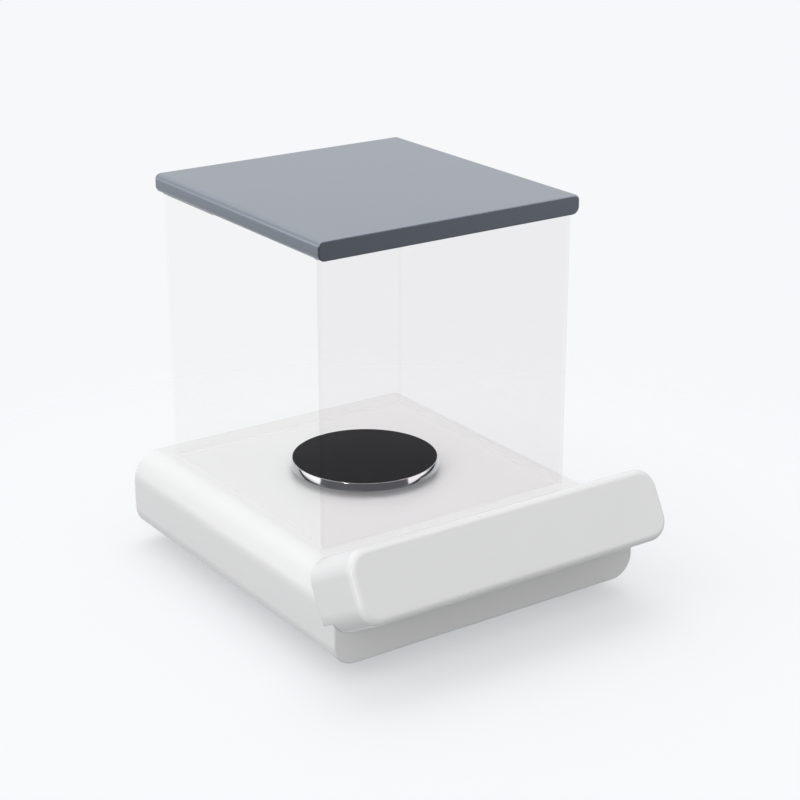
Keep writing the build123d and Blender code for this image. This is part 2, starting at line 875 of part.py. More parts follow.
def make_hanger():
    """Load carrier between the guides, with the spigot for the pan and a yoke for the lever."""
    low = lower_guide_z + guide_plate_thickness + pivot_gap
    high = upper_guide_z - pivot_gap
    half = hanger_half_width
    hanger = block(-half, half, chamber_y - hanger_depth / 2, hanger_back, low, high)
    web = half - hanger_web
    front = chamber_y - hanger_depth / 2
    hanger -= block(-web, web, front, chamber_y, low + hanger_flange, high - hanger_flange)
    yoke_gap = 2 * pivot_gap
    yoke_back = lever_nose_y + yoke_overlap
    yoke = block(
        -lever_half_width, lever_half_width, hanger_back - yoke_root, yoke_back,
        lever_z - yoke_gap - yoke_cheek, lever_z + lever_height + yoke_gap + yoke_cheek,
    )
    yoke -= block(
        -lever_half_width, lever_half_width, lever_nose_y - 4 * pivot_gap, yoke_back,
        lever_z - yoke_gap, lever_z + lever_height + yoke_gap,
    )
    hanger += yoke
    hanger += column(0, chamber_y, high, hanger_top_z + spigot_height, spigot_radius)
    for x, y in hanger_screw_places():
        hanger -= column(x, y, high - hanger_thread - screw_spare, high, screw_radius + screw_gap)
    return hanger


def make_hanger_screws():
    """Screws that hold the upper guide to the hanger."""
    z = upper_guide_z + guide_plate_thickness + pivot_gap
    return screws_at(hanger_screw_places(), z, guide_plate_thickness + hanger_thread)


def make_lever():
    """Beam from the hanger's yoke over the fulcrum to the coil and the sensor flag."""
    z = lever_z
    top = z + lever_height
    half = lever_half_width
    nose = half - lever_nose_step
    lever = block(-nose, nose, lever_nose_y, fulcrum_y, z, top)
    lever += block(-half, half, fulcrum_y - lever_shoulder, magnet_y, z, top)
    cross = fulcrum_post_x + fulcrum_post_width
    bar = fulcrum_post_half_depth
    lever += block(-cross, cross, fulcrum_y - bar, fulcrum_y + bar, z, top)
    lever += column(0, magnet_y, z, z + flag_thickness, coil_outer_radius)
    lever += block(-flag_width / 2, flag_width / 2, magnet_y, flag_end_y, z, z + flag_thickness)
    slot_front = fulcrum_y + lever_slot_front_gap
    slot_back = magnet_y - coil_outer_radius - lever_slot_back_gap
    rail = half - lever_rail
    lever -= block(-rail, rail, slot_front, slot_back, z, top)
    return lever


def make_coil():
    """Coil that hangs from the lever in the gap of the magnet."""
    top = lever_z
    ring = column(0, magnet_y, top - coil_height, top, coil_outer_radius)
    return ring - column(0, magnet_y, top - coil_height, top, coil_inner_radius)


def make_magnet_pot():
    """Steel cup that closes the magnetic field round the coil."""
    low = cell_z + cell_floor
    pot = column(0, magnet_y, low, low + pot_height, pot_radius)
    return pot - column(0, magnet_y, low + pot_floor, low + pot_height, pot_radius - pot_wall)


def make_magnet_core():
    low = cell_z + cell_floor + pot_floor
    core = column(0, magnet_y, low, low + pot_height - pot_floor, core_radius)
    return chamfer(core.edges().group_by(Axis.Z)[-1], core_edge)


def make_position_sensor():
    """Forked light barrier round the flag at the end of the lever."""
    low = cell_z + cell_floor
    front = cell_back - sensor_depth
    half = sensor_width / 2
    high = lever_z + sensor_overlap
    fork = block(-half, half, front, cell_back, low, high)
    slot = half - sensor_arm
    fork -= block(-slot, slot, front, cell_back, lever_z - lever_window_gap, high)
    return fork


def make_cell_screws():
    return screws_at(cell_screw_places(), cell_z + cell_floor, cell_floor + cell_pad_height)


# Boards and sockets


def board_with_holes(x0, x1, y0, y1, places):
    board = block(x0, x1, y0, y1, board_z, board_z + board_thickness)
    for x, y in places:
        board -= column(x, y, board_z, board_z + board_thickness, screw_radius + screw_gap)
    return board


def component(x, y, width, depth, height):
    """A part that stands on a board."""
    top = board_z + board_thickness
    return block(x - width / 2, x + width / 2, y - depth / 2, y + depth / 2, top, top + height)


def make_main_board():
    """Processor board with its larger components."""
    half = main_board_half_width
    middle = (main_board_front + main_board_back) / 2
    back = main_board_back - part_margin
    board = board_with_holes(-half, half, main_board_front, main_board_back, main_board_places())
    board += component(0, middle, processor_width, processor_width, processor_height)
    converter_x = processor_width + part_margin / 2
    board += component(converter_x, middle, converter_width, converter_depth, converter_height)
    board += component(half / 2 + part_margin, back, relay_width, relay_width, relay_height)
    top = board_z + board_thickness
    for i in range(capacitor_count):
        x = i * capacitor_pitch - half + part_margin
        board += column(x, middle, top, top + capacitor_height, capacitor_radius)
    return board + component(0, plug_y(), cable_width + 2 * plug_margin, plug_depth, plug_height)


def plug_y():
    """Where the display cable's plug stands on the main board."""
    return main_board_front + board_screw_inset + plug_depth / 2


def make_io_board():
    back = back_y - base_wall - socket_gap
    board = board_with_holes(io_board_left, io_board_right, io_board_front, back, io_board_places())
    x = (io_board_left + io_board_right) / 2
    y = io_board_front + io_connector_depth / 2 + io_connector_setback
    width = io_board_right - io_board_left - 2 * (board_screw_inset + io_connector_inset)
    return board + component(x, y, width, io_connector_depth, io_connector_height)


def make_board_screws():
    places = main_board_places() + io_board_places()
    length = board_thickness + board_post_height - board_screw_end_gap
    return screws_at(places, board_z + board_thickness, length)


def make_dc_inlet():
    """Low-voltage barrel socket, flush with the back of the base."""
    back = back_y
    low = board_z + board_thickness
    x = dc_inlet_x
    half = dc_inlet_width / 2
    body = block(x - half, x + half, back - dc_inlet_depth, back, low, low + dc_inlet_height)
    axis = Pos(x, back, low + dc_inlet_height / 2) * Rot(90, 0, 0)
    body -= axis * column(0, 0, 0, dc_bore_depth, dc_bore_radius)
    return body + axis * column(0, 0, dc_pin_setback, dc_bore_depth, dc_pin_radius)


def make_data_socket():
    """Square data socket, flush with the back of the base."""
    back = back_y
    low = board_z + board_thickness
    x = data_socket_x
    high = low + data_socket_height
    half = data_socket_width / 2
    inner = half - data_socket_wall
    mouth_low = low + data_socket_wall
    mouth_high = high - data_socket_wall
    reach = data_mouth_depth
    wide = data_tongue_half_width
    margin = data_tongue_margin
    body = block(x - half, x + half, back - data_socket_depth, back, low, high)
    mouth = block(x - inner, x + inner, back - reach, back, mouth_low, mouth_high)
    tongue = block(x - wide, x + wide, back - reach, back - data_tongue_setback, low + margin, high - margin)
    return body - mouth + tongue


def make_plate_screws():
    places = corners(boss_side_x, boss_rows_y)
    length = plate_thickness - screw_head_height + screw_engagement
    return screws_at(places, rim_z + screw_head_height, length, True)


# Control panel, drawn with its face on the XY plane and then leaned back


def make_panel_housing():
    """One-piece housing with a smooth front, open at the back."""
    shell = panel_slab(0, 0, panel_depth)
    front = shell.faces().sort_by(Axis.Z)[-1]
    shell = fillet(front.edges(), panel_front_round)
    back = shell.faces().sort_by(Axis.Z)[0]
    shell = fillet(back.edges(), panel_back_round)
    hollow = panel_slab(panel_wall, panel_wall, panel_depth)
    inner_front = hollow.faces().sort_by(Axis.Z)[-1]
    hollow = fillet(inner_front.edges(), panel_front_round - panel_wall)
    boss_end = -panel_depth + panel_wall + seat_gap
    for x, h in panel_screw_places():
        hollow -= column(x, h, boss_end, 0, panel_boss_radius)
    for x, h in touch_board_places():
        hollow -= column(x, h, -touch_board_front(), 0, touch_post_radius)
    shell -= hollow
    for x, h in panel_screw_places():
        shell -= column(x, h, boss_end, boss_end + screw_engagement + pilot_spare, screw_radius + screw_gap)
    pilot_end = short_engagement + screw_spare - touch_board_front()
    for x, h in touch_board_places():
        shell -= column(x, h, -touch_board_front(), pilot_end, screw_radius + screw_gap)
    return panel_face * shell


def touch_board_front():
    """Distance of the touch board's front behind the face of the panel."""
    return panel_wall + display_thickness + touch_board_gap


def touch_board_places():
    h = touch_board_height / 2 - board_screw_inset
    return corners(touch_board_width / 2 - board_screw_inset, (-h, h))


def make_panel_back():
    """Cover that closes the back of the panel and lies against the seat in the base."""
    back = panel_slab(panel_wall + panel_fit, panel_depth - panel_wall, panel_depth)
    back -= cable_slot(panel_depth - panel_wall, panel_depth)
    for x, h in panel_screw_places():
        back -= column(x, h, -panel_depth, -panel_depth + panel_wall, screw_radius + screw_gap)
    return panel_face * back


def make_panel_screws():
    """Screws that come from inside the base, through its seat and the back cover, into the panel."""
    level = -panel_depth - seat_gap - base_wall
    length = base_wall + seat_gap + panel_wall + screw_engagement
    return panel_face * screws_at(panel_screw_places(), level, length, True)


def make_display():
    half_w = display_width / 2
    half_h = display_height / 2
    front = -panel_wall - display_gap
    middle = front - display_glass_thickness
    glass = block(-half_w, half_w, -half_h, half_h, middle, front)
    frame_w = half_w + display_frame_margin
    frame_h = half_h - display_frame_inset
    frame = block(-frame_w, frame_w, -frame_h, frame_h, front - display_thickness, middle)
    return panel_face * (glass + frame - display_clearings())


def display_clearings():
    """Corners that stay free for the board's posts."""
    radius = touch_post_radius + touch_post_gap
    posts = [column(x, h, -touch_board_front(), 0, radius) for x, h in touch_board_places()]
    return Part() + posts


def make_touch_board():
    """Board with the touch sensors and the cable's connector."""
    half_w = touch_board_width / 2
    half_h = touch_board_height / 2
    front = -touch_board_front()
    board = block(-half_w, half_w, -half_h, half_h, front - board_thickness, front)
    half_plug = cable_width / 2 + plug_margin
    low = cable_height - plug_depth / 2
    plug_z = front - board_thickness
    board += block(-half_plug, half_plug, low, low + plug_depth, plug_z - plug_height, plug_z)
    for x, h in touch_board_places():
        board -= column(x, h, front - board_thickness, front, screw_radius + screw_gap)
    return panel_face * board


def make_touch_board_screws():
    level = -touch_board_front() - board_thickness
    return panel_face * screws_at(touch_board_places(), level, board_thickness + short_engagement, True)


def panel_point(depth, height):
    """A point on the panel's middle plane, as Y and Z, behind its face and up its slope."""
    y = panel_face_y + depth * cos(tilt) + height * sin(tilt)
    z = rim_z + panel_face_rise - depth * sin(tilt) + height * cos(tilt)
    return y, z


def make_display_cable():
    """Flat cable from the touch board through the seat to the main board."""
    start = panel_point(touch_board_front() + board_thickness + plug_height, cable_height)
    plug_top = board_z + board_thickness + plug_height
    reach = (plug_y() - panel_face_y - cable_height * sin(tilt)) / cos(tilt)
    bend = panel_point(reach, cable_height)
    path = FilletPolyline(start, bend, (plug_y(), plug_top), radius=cable_bend)
    ribbon = trace(path, line_width=cable_thickness)
    return extrude(Plane.YZ * ribbon, amount=cable_width / 2, both=True)


pieces = {
    "base_cover": make_base_cover(),
    "bottom_plate": make_bottom_plate(),
    "bottom_plate_screws": make_plate_screws(),
    "front_foot_left": make_front_foot(-1),
    "front_foot_right": make_front_foot(1),
    "foot_pad_left": make_foot_pad(-1),
    "foot_pad_right": make_foot_pad(1),
    "foot_spindle_left": make_foot_spindle(-1),
    "foot_spindle_right": make_foot_spindle(1),
    "foot_bush_left": make_foot_bush(-1),
    "foot_bush_right": make_foot_bush(1),
    "shield_gasket": make_gasket(),
    "glass_front": make_cross_pane(-1),
    "glass_back": make_cross_pane(1),
    "glass_left": make_side_pane(-1),
    "glass_right": make_side_pane(1),
    "lid_guide_left": make_lid_guide(-1),
    "lid_guide_right": make_lid_guide(1),
    "lid_cover": make_lid_cover(),
    "lid_plate": make_lid_plate(),
    "lid_screws": make_lid_screws(),
    "lid_stops": make_lid_stops(),
    "pan": make_pan(),
    "pan_inlay": make_pan_inlay(),
    "pan_support": make_pan_support(),
    "draught_collar": make_collar(),
    "cell_frame": make_cell_frame(),
    "cell_screws": make_cell_screws(),
    "hanger": make_hanger(),
    "hanger_screws": make_hanger_screws(),
    "upper_guide": make_upper_guide(),
    "lower_guide": make_guide(lower_guide_z),
    "guide_screws": make_guide_screws(),
    "lever": make_lever(),
    "coil": make_coil(),
    "magnet_pot": make_magnet_pot(),
    "magnet_core": make_magnet_core(),
    "position_sensor": make_position_sensor(),
    "main_board": make_main_board(),
    "io_board": make_io_board(),
    "board_screws": make_board_screws(),
    "dc_inlet": make_dc_inlet(),
    "data_socket": make_data_socket(),
    "panel_housing": make_panel_housing(),
    "panel_back": make_panel_back(),
    "panel_screws": make_panel_screws(),
    "display_module": make_display(),
    "touch_board": make_touch_board(),
    "touch_board_screws": make_touch_board_screws(),
    "display_cable": make_display_cable(),
}

# The balance is centred from the front of the panel to the back of the base
front_y = pieces["panel_housing"].bounding_box().min.Y
plan_shift = -(front_y + base_depth / 2) / 2

os.makedirs("parts", exist_ok=True)
for name, piece in pieces.items():
    export_step(Pos(0, plan_shift, 0) * piece, f"parts/{name}.step")
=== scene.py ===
import json
from math import cos, pi, radians, sin, sqrt

import bmesh
import bpy
from mathutils import Matrix, Vector


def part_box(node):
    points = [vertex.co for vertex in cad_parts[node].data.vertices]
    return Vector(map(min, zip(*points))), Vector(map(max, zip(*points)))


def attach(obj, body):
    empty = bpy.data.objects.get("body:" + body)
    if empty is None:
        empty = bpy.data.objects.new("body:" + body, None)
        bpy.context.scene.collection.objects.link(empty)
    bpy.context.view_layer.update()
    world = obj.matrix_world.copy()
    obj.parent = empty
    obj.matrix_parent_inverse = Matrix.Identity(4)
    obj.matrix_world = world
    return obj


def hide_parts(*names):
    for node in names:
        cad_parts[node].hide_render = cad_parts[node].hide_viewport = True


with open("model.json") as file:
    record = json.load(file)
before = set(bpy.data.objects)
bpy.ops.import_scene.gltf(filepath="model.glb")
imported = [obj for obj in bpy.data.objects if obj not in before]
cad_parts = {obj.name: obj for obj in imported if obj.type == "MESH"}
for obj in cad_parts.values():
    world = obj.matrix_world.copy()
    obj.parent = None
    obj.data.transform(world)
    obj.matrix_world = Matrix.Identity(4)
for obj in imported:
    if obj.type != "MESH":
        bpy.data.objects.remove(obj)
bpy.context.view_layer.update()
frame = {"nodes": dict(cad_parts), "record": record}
nodes = frame["nodes"]

# Sizes that the boxes of the CAD nodes don't give, in metres, and the panel's tilt
MM = 0.001
BASE_TOP_CORNER = 18.0 * MM
BASE_LOWER_CORNER = 14.0 * MM
BASE_EDGE = 1.4 * MM
BASE_WALL = 3.0 * MM
BOTTOM_PLATE_GAP = 0.3 * MM
SOCKET_GAP = 0.3 * MM
PAN_HOLE_RADIUS = 13.0 * MM
GROOVE_GAP = 0.85 * MM
GROOVE_DEPTH = 4.0 * MM
GROOVE_WALL = 2.5 * MM
SEAL_DEPTH = 0.05 * MM
GLASS = 3.0 * MM
GLASS_EDGE = 0.15 * MM
LID_TOP_CORNER = 3.6 * MM
LID_LOWER_CORNER = 4.6 * MM
LID_EDGE = 1.0 * MM
LID_ROOF = 2.5 * MM
LID_PLATE_GAP = 0.1 * MM
PANEL_OVERHANG = 1.1 * MM
PANEL_HEIGHT = 43.1 * MM
PANEL_DEPTH = 45.3 * MM
PANEL_WALL = 2.5 * MM
PANEL_CORNER = 13.0 * MM
PANEL_FRONT_ROUND = 4.3 * MM
PANEL_BACK_ROUND = 1.2 * MM
PANEL_TILT = radians(28.7)
PANEL_REACH = 23.2 * MM
PANEL_RISE = 57.4 * MM
SEAT_GAP = 0.4 * MM
RIM_FLARE = 1.0 * MM
RIM_EDGE = 0.3 * MM
RIM_LIP = 0.08 * MM
RIM_WALL = 1.6 * MM
PAN_SKIN = 1.4 * MM
INLAY_GAP = 0.05 * MM
INLAY_EDGE = 0.2 * MM

# How far the pan's rim leans in at half height, how much that changes from there to its foot and to its
# top, and where the rounding of its top edge begins, in degrees
RIM_LEAN = 12.0
RIM_CROWN = 3.0
RIM_EDGE_START = 30.0

# How far a cut runs past the face that it opens
OVERRUN = 1.0 * MM

# Segments of the roundings, and steps of the turned forms and their curves
BASE_SEGMENTS = 14
LID_SEGMENTS = 8
END_SEGMENTS = 4
PANEL_SEGMENTS = 16
PANEL_FRONT_SEGMENTS = 10
PANEL_BACK_SEGMENTS = 3
GLASS_SEGMENTS = 2
HIDDEN_SEGMENTS = 8
HOLE_STEPS = 64
PAN_STEPS = 160
RIM_STEPS = 10
EDGE_STEPS = 3

# The angle in degrees past which two faces meet in a crisp edge
SHARP = 35.0
GLASS_SHARP = 20.0
PAN_SHARP = 40.0

# Axes as places in a vector
Y = 1
Z = 2

# How near two places are to count as the same, and how near two points are to be merged, in metres
SAME_PLACE = 1e-6
SAME_POINT = 1e-7

# The share of its length that an edge has along an axis to count as parallel to it
STRAIGHT = 0.999

# Places taken from the CAD nodes
base_low, base_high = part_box("base_cover")
base_centre = (base_low + base_high) / 2
chamber_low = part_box("glass_front")[0]
chamber_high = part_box("glass_back")[1]
pan_low, pan_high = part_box("pan")
pan_centre = (pan_low + pan_high) / 2
groove_z = base_high.z - GROOVE_DEPTH
panel_width = base_high.x - base_low.x + 2 * PANEL_OVERHANG
panel_face = Vector((0, base_low.y - PANEL_REACH, base_low.z + PANEL_RISE))
seat_depth = PANEL_DEPTH + SEAT_GAP


# Mesh tools: a form is a mesh that is still being shaped, and a piece is the object made of it


def cuboid(low, high):
    """A box between two opposite corners."""
    form = bmesh.new()
    bmesh.ops.create_cube(form, size=1.0)
    low = Vector(low)
    high = Vector(high)
    bmesh.ops.scale(form, vec=high - low, verts=form.verts)
    bmesh.ops.translate(form, vec=(low + high) / 2, verts=form.verts)
    return form


def column(low, high, gap, low_z, high_z):
    """A box that stands a gap outside two corners all round, between two heights."""
    return cuboid((low.x - gap, low.y - gap, low_z), (high.x + gap, high.y + gap, high_z))


def soften(form, edges, radius, segments):
    """Rounds edges to a radius."""
    bmesh.ops.bevel(
        form, geom=list(edges), offset=radius, offset_type="OFFSET", affect="EDGES", segments=segments,
        profile=0.5, material=-1, clamp_overlap=False,
    )


def along(edge, axis):
    """Whether an edge is parallel to an axis."""
    run = edge.verts[1].co - edge.verts[0].co
    return abs(run[axis]) > STRAIGHT * run.length


def middle(edge):
    return (edge.verts[0].co + edge.verts[1].co) / 2


def flat_loop(form, axis, level):
    """The edges round the flat faces that lie at a level along an axis."""
    found = set()
    for face in form.faces:
        if all(abs(v.co[axis] - level) < SAME_PLACE for v in face.verts):
            found.update(face.edges)
    return found


def rounded_bar(low, high, top_corner, lower_corner, end_round, segments):
    """A bar from front to back with rounded long edges and softened ends."""
    form = cuboid(low, high)
    centre_z = (low.z + high.z) / 2
    soften(form, [e for e in form.edges if along(e, Y) and middle(e).z > centre_z], top_corner, segments)
    lower = [e for e in form.edges if along(e, Y) and abs(middle(e).z - low.z) < SAME_PLACE]
    corners = [e for e in lower if abs(abs(middle(e).x) - high.x) < SAME_PLACE]
    soften(form, corners, lower_corner, segments)
    if end_round > 0:
        soften(form, flat_loop(form, Y, low.y) | flat_loop(form, Y, high.y), end_round, END_SEGMENTS)
    return form


def turned(points, centre, steps):
    """A form turned on an upright axis from a profile of radius and height."""
    form = bmesh.new()
    verts = [form.verts.new((centre.x + r, centre.y, z)) for r, z in points]
    edges = [form.edges.new(pair) for pair in zip(verts, verts[1:])]
    bmesh.ops.spin(
        form, geom=verts + edges, cent=(centre.x, centre.y, 0), axis=(0, 0, 1), angle=2 * pi,
        steps=steps, use_merge=True, use_duplicate=False,
    )
    bmesh.ops.remove_doubles(form, verts=form.verts, dist=SAME_POINT)
    bmesh.ops.recalc_face_normals(form, faces=form.faces)
    return form


def arc(centre_r, centre_z, size, start, end, steps):
    """Points along part of a circle in a turned profile, from one angle in degrees to another."""
    found = []
    for i in range(steps + 1):
        angle = radians(start + (end - start) * i / steps)
        found.append((centre_r + size * cos(angle), centre_z + size * sin(angle)))
    return found


def crisp(piece, sharp=SHARP):
    """Shades a piece smooth, apart from its sharp edges."""
    piece.data.shade_smooth()
    piece.data.set_sharp_from_angle(angle=radians(sharp))
    return piece


def finished(name, form, sharp=SHARP):
    """Turns a form into an object."""
    mesh = bpy.data.meshes.new(name)
    form.to_mesh(mesh)
    form.free()
    piece = bpy.data.objects.new(name, mesh)
    bpy.context.scene.collection.objects.link(piece)
    return crisp(piece, sharp)


def as_form(piece):
    """Turns an object back into a form."""
    form = bmesh.new()
    form.from_mesh(piece.data)
    bpy.data.objects.remove(piece)
    return form


def carve(piece, form):
    """Cuts a form out of a piece."""
    cutter = finished("cutter", form)
    cut = piece.modifiers.new("carve", "BOOLEAN")
    cut.object = cutter
    cut.operation = "DIFFERENCE"
    cut.solver = "EXACT"
    graph = bpy.context.evaluated_depsgraph_get()
    mesh = bpy.data.meshes.new_from_object(piece.evaluated_get(graph))
    piece.modifiers.remove(cut)
    mesh.name = piece.data.name
    piece.data = mesh
    bpy.data.objects.remove(cutter)


def evened(piece):
    """Lets the large flat faces set the shading of the roundings beside them."""
    weights = piece.modifiers.new("even shading", "WEIGHTED_NORMAL")
    weights.mode = "FACE_AREA"
    weights.weight = 100
    weights.keep_sharp = True
    return piece


# Material tools


def wire(tree, value, socket):
    """Links an output to a socket, or sets a plain value on it."""
    if isinstance(value, bpy.types.NodeSocket):
        tree.links.new(value, socket)
    else:
        socket.default_value = value


def maths(tree, operation, *values, clamp=False):
    step = tree.nodes.new("ShaderNodeMath")
    step.operation = operation
    step.use_clamp = clamp
    for value, socket in zip(values, step.inputs):
        wire(tree, value, socket)
    return step.outputs[0]


def any_of(tree, *values):
    """One where any of the values is one."""
    found = values[0]
    for value in values[1:]:
        found = maths(tree, "MAXIMUM", found, value)
    return found


def rising(tree, value, start, end):
    """Goes smoothly from zero to one as the value goes from the start to the end."""
    step = tree.nodes.new("ShaderNodeMapRange")
    step.interpolation_type = "SMOOTHSTEP"
    wire(tree, value, step.inputs["Value"])
    step.inputs["From Min"].default_value = start
    step.inputs["From Max"].default_value = end
    return step.outputs["Result"]


def mixed(tree, share, first, second):
    """A shader that goes from the first to the second with the share."""
    mix = tree.nodes.new("ShaderNodeMixShader")
    wire(tree, share, mix.inputs["Fac"])
    tree.links.new(first, mix.inputs[1])
    tree.links.new(second, mix.inputs[2])
    return mix.outputs["Shader"]


def new_material(name, colour, roughness, metallic=0.0, specular=0.5):
    """A plain material, and its shader to build on."""
    material = bpy.data.materials.new(name)
    material.use_nodes = True
    shader = material.node_tree.nodes["Principled BSDF"]
    shader.inputs["Base Color"].default_value = (*colour, 1.0)
    shader.inputs["Roughness"].default_value = roughness
    shader.inputs["Metallic"].default_value = metallic
    shader.inputs["Specular IOR Level"].default_value = specular
    return material, shader


# The grain: the detail of its fine and broad patterns, the broad pattern's scale per metre, how far the
# fine one sways the roughness, and how deep it is at a height of one
FINE_DETAIL = 3.0
BROAD_DETAIL = 2.0
BROAD_SCALE = 22.0
ROUGHNESS_SPREAD = 0.1
GRAIN_DEPTH = 0.02 * MM


def grain_group():
    """Fine moulded or blasted grain: a colour that wavers a little, a roughness and a normal."""
    group = bpy.data.node_groups.new("fine grain", "ShaderNodeTree")
    face = group.interface
    face.new_socket("Colour", in_out="INPUT", socket_type="NodeSocketColor")
    for name in ("Roughness", "Grain per metre", "Colour spread", "Height"):
        face.new_socket(name, in_out="INPUT", socket_type="NodeSocketFloat")
    face.new_socket("Colour", in_out="OUTPUT", socket_type="NodeSocketColor")
    face.new_socket("Roughness", in_out="OUTPUT", socket_type="NodeSocketFloat")
    face.new_socket("Normal", in_out="OUTPUT", socket_type="NodeSocketVector")
    given = group.nodes.new("NodeGroupInput").outputs
    out = group.nodes.new("NodeGroupOutput").inputs
    place = group.nodes.new("ShaderNodeTexCoord").outputs["Object"]

    def noise(scale, detail):
        pattern = group.nodes.new("ShaderNodeTexNoise")
        wire(group, place, pattern.inputs["Vector"])
        wire(group, scale, pattern.inputs["Scale"])
        pattern.inputs["Detail"].default_value = detail
        return pattern.outputs["Fac"]

    fine = noise(given["Grain per metre"], FINE_DETAIL)
    broad = maths(group, "SUBTRACT", noise(BROAD_SCALE, BROAD_DETAIL), 0.5)
    tint = group.nodes.new("ShaderNodeVectorMath")
    tint.operation = "SCALE"
    wire(group, given["Colour"], tint.inputs[0])
    wire(group, maths(group, "MULTIPLY_ADD", broad, given["Colour spread"], 1.0), tint.inputs["Scale"])
    wire(group, tint.outputs[0], out["Colour"])
    centred = maths(group, "SUBTRACT", fine, 0.5)
    rough = maths(group, "MULTIPLY_ADD", centred, ROUGHNESS_SPREAD, given["Roughness"])
    wire(group, rough, out["Roughness"])
    bump = group.nodes.new("ShaderNodeBump")
    bump.inputs["Distance"].default_value = GRAIN_DEPTH
    wire(group, given["Height"], bump.inputs["Strength"])
    wire(group, fine, bump.inputs["Height"])
    wire(group, bump.outputs["Normal"], out["Normal"])
    return group


GRAIN = grain_group()


def grained(
    name, colour, roughness, metallic=0.0, specular=0.5, grain=900.0, colour_spread=0.03, height=0.2
):
    """A material with fine grain on its colour, roughness and surface."""
    material, shader = new_material(name, colour, roughness, metallic, specular)
    tree = material.node_tree
    effect = tree.nodes.new("ShaderNodeGroup")
    effect.node_tree = GRAIN
    effect.inputs["Colour"].default_value = (*colour, 1.0)
    effect.inputs["Roughness"].default_value = roughness
    effect.inputs["Grain per metre"].default_value = grain
    effect.inputs["Colour spread"].default_value = colour_spread
    effect.inputs["Height"].default_value = height
    for result, socket in (("Colour", "Base Color"), ("Roughness", "Roughness"), ("Normal", "Normal")):
        tree.links.new(effect.outputs[result], shader.inputs[socket])
    return material


# The glass bends light very little, so that its edges stay as pale as its faces
GLASS_BEND = 1.002


def clear_glass(name, tint):
    """Tinted glass, which shadows, the light between faces and mirror images pass straight through."""
    material, shader = new_material(name, tint, 0.0)
    shader.inputs["Transmission Weight"].default_value = 1.0
    shader.inputs["IOR"].default_value = GLASS_BEND
    tree = material.node_tree
    path = tree.nodes.new("ShaderNodeLightPath").outputs
    mirrored = maths(tree, "SUBTRACT", path["Is Glossy Ray"], path["Is Transmission Ray"], clamp=True)
    unbent = any_of(tree, path["Is Shadow Ray"], path["Is Diffuse Ray"], mirrored)
    through = tree.nodes.new("ShaderNodeBsdfTransparent")
    # A ray passes two faces of a pane, so each face takes the root of the tint
    through.inputs["Color"].default_value = (*[sqrt(c) for c in tint], 1.0)
    shown = mixed(tree, unbent, shader.outputs["BSDF"], through.outputs["BSDF"])
    tree.links.new(shown, tree.nodes["Material Output"].inputs["Surface"])
    return material


# Finishes, one for each material slot of the record
METAL = 1.0
finishes = {
    "white_plastic": grained(
        "satin white plastic", (0.83, 0.832, 0.838), 0.24, grain=1400.0, height=0.03
    ),
    "lid_metal": grained(
        "blue-grey anodised metal", (0.29, 0.315, 0.36), 0.30, METAL,
        grain=2200.0, colour_spread=0.04, height=0.12,
    ),
    "clear_glass": clear_glass("clear glass", (0.982, 0.982, 0.977)),
    "black_coat": grained(
        "satin black coat", (0.023, 0.023, 0.025), 0.6, specular=0.03, grain=2500.0, height=0.10
    ),
    "polished_steel": grained(
        "polished steel", (0.56, 0.56, 0.57), 0.06, METAL, grain=600.0, height=0.01
    ),
    "cast_aluminium": grained("cast aluminium", (0.55, 0.56, 0.57), 0.5, METAL, grain=700.0, height=0.8),
    "machined_aluminium": grained("machined aluminium", (0.75, 0.76, 0.77), 0.3, METAL, grain=1500.0),
    "steel": grained("zinc plated steel", (0.55, 0.56, 0.57), 0.3, METAL, grain=1500.0),
    "brass": grained("turned brass", (0.72, 0.53, 0.25), 0.28, METAL, grain=1500.0),
    "copper_wire": grained("enamelled copper", (0.60, 0.24, 0.11), 0.35, METAL, grain=1500.0),
    "black_rubber": grained("black rubber", (0.022, 0.022, 0.023), 0.75, grain=1200.0, height=0.4),
    "clear_silicone": grained("clear silicone", (0.84, 0.842, 0.848), 0.5, grain=800.0, height=0.1),
    "grey_plastic": grained("grey plastic", (0.30, 0.31, 0.33), 0.5, grain=1400.0),
    "black_plastic": grained("black plastic", (0.02, 0.02, 0.022), 0.45, grain=1400.0),
    "circuit_board": grained("green board lacquer", (0.02, 0.12, 0.05), 0.35),
    "display_glass": grained("display glass", (0.01, 0.01, 0.012), 0.08, grain=300.0, height=0.0),
    "flat_cable": grained("cable film", (0.75, 0.74, 0.70), 0.4),
}
# Painted shade: the front pane is tinted a little darker than the others, though all are the same glass,
# to stand in for the darker look through it
front_glass_painted_shade = clear_glass("front glass darkened as painted shade", (0.927, 0.910, 0.915))

# Each CAD node takes the finish of its slot
slots = {part["node"]: part["material_slot"] for part in frame["record"]["subparts"]}
for name, node in nodes.items():
    finish = finishes[slots[name]]
    if node.data.materials:
        node.material_slots[0].material = finish
    else:
        node.data.materials.append(finish)


def placed(piece, body, slot, replaced, finish=None):
    """Gives a piece its finish, fixes it to a body and hides the node that it stands for."""
    piece.data.materials.clear()
    piece.data.materials.append(finish or finishes[slot])
    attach(piece, body)
    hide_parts(replaced)
    return piece


# Base


def chamber_ring(gap, wall, low_z, high_z):
    """A ring of a wall's thickness that stands a gap outside the glass."""
    ring = finished("ring", column(chamber_low, chamber_high, gap, low_z, high_z))
    carve(ring, column(chamber_low, chamber_high, gap - wall, low_z - OVERRUN, high_z + OVERRUN))
    return as_form(ring)


def groove_form():
    """The room of the groove that the glass stands in."""
    return chamber_ring(GROOVE_GAP, GLASS + 2 * GROOVE_GAP, groove_z, base_high.z + OVERRUN)


